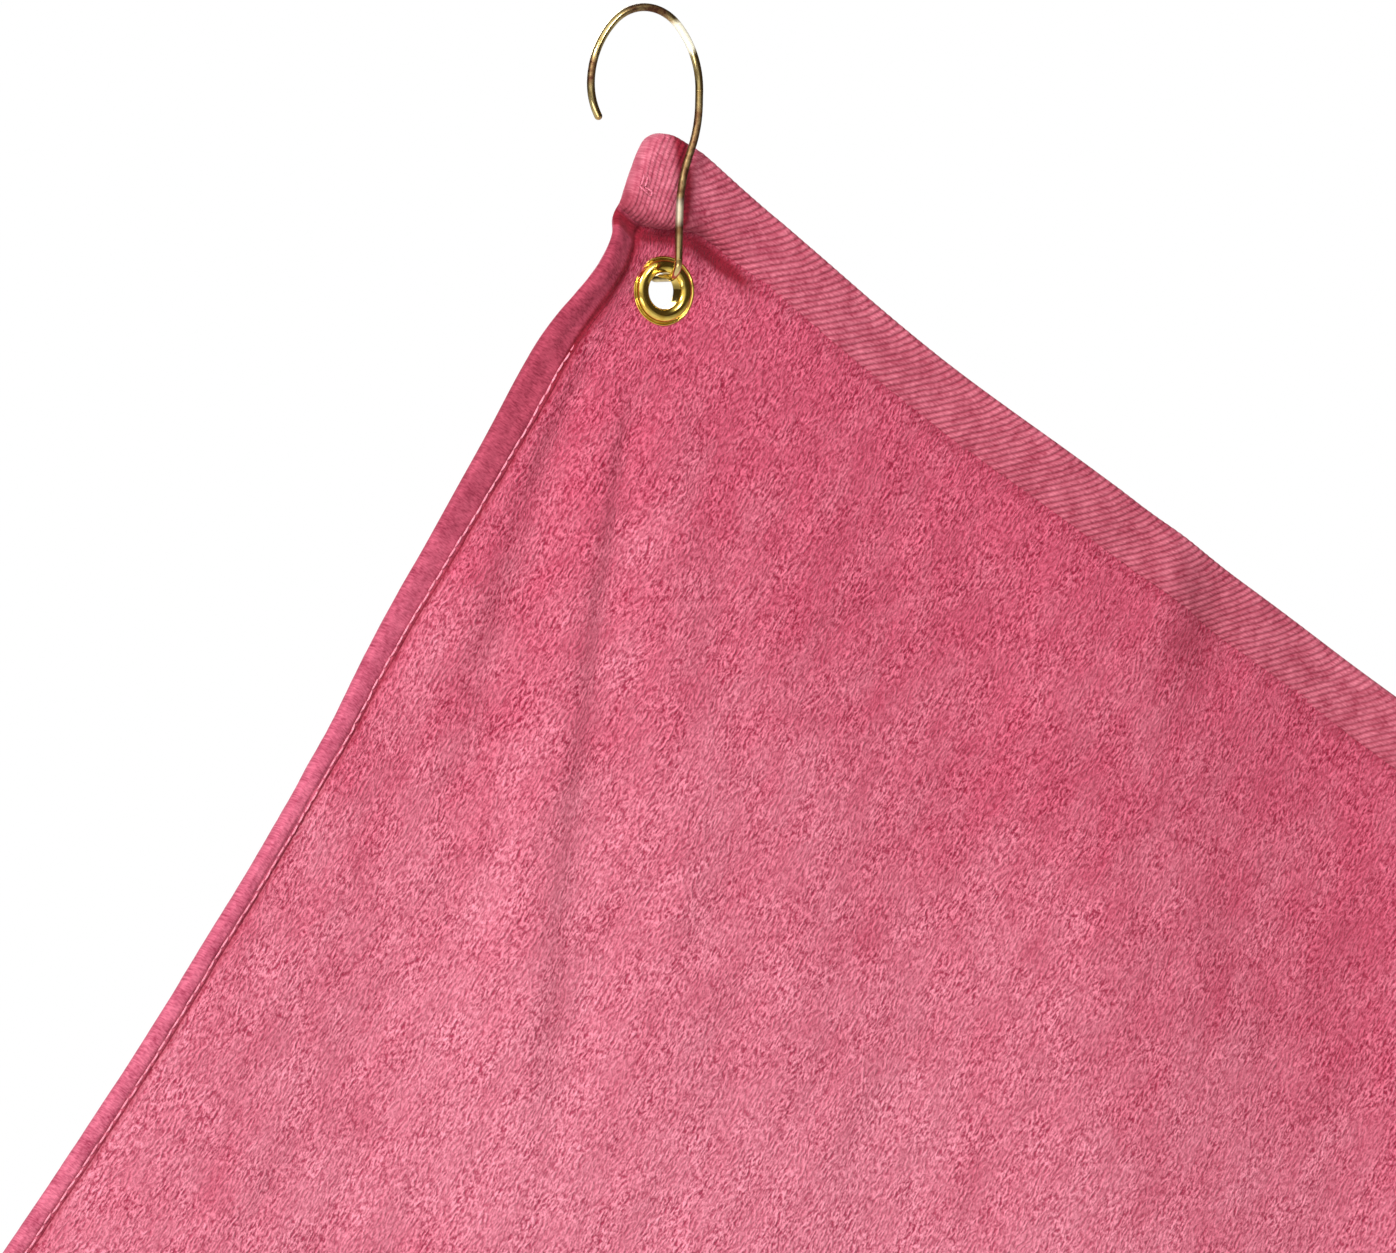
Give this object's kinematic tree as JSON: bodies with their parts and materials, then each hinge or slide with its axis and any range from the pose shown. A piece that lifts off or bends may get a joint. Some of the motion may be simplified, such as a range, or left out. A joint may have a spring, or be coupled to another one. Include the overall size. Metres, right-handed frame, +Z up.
{
  "type": "golf towel",
  "caption": "Golf towel of velour pile cloth with twill end hems and rolled side hems, hung by a corner grommet from an open wire hook.",
  "frame": {"origin": "inside top of the hook's loop, the point that bears on the bag ring or peg that it hangs from", "axes": "+Z up, +X to the right seen from the towel's face, and the face looks towards -Y"},
  "size_m": [0.6664, 0.0235, 0.7807],
  "materials": {
    "hook_gold": "polished gold-coloured plating",
    "grommet_brass": "polished brass",
    "velour": "sheared cotton velour pile",
    "twill_hem": "ribbed cotton twill",
    "rolled_hem": "cotton cloth rolled and stitched",
    "thread": "matt sewing thread"
  },
  "bodies": {
    "hook": {"hook_wire": "hook_gold"},
    "grommet": {"grommet_eyelet": "grommet_brass", "grommet_washer": "grommet_brass"},
    "towel": {"pile_panel": "velour", "top_end_hem": "twill_hem", "bottom_end_hem": "twill_hem", "left_side_hem": "rolled_hem", "right_side_hem": "rolled_hem", "top_end_needle_thread": "thread", "bottom_end_needle_thread": "thread", "left_side_needle_thread": "thread", "right_side_needle_thread": "thread", "top_end_bobbin_thread": "thread", "bottom_end_bobbin_thread": "thread", "left_side_bobbin_thread": "thread", "right_side_bobbin_thread": "thread", "corner_bartack_thread": "thread"}
  },
  "joints": [
    {"name": "hook_swivel", "type": "hinge", "parent": "hook", "child": "grommet", "pos_m": [0.00981, 0.0075, -0.05983], "axis": [0, 0, 1], "range_deg": [-28, 28]},
    {"name": "towel_swing", "type": "hinge", "parent": "grommet", "child": "towel", "pos_m": [0.00981, 0.0075, -0.06273], "axis": [0, 1, 0], "range_deg": [-50, 50]}
  ]
}
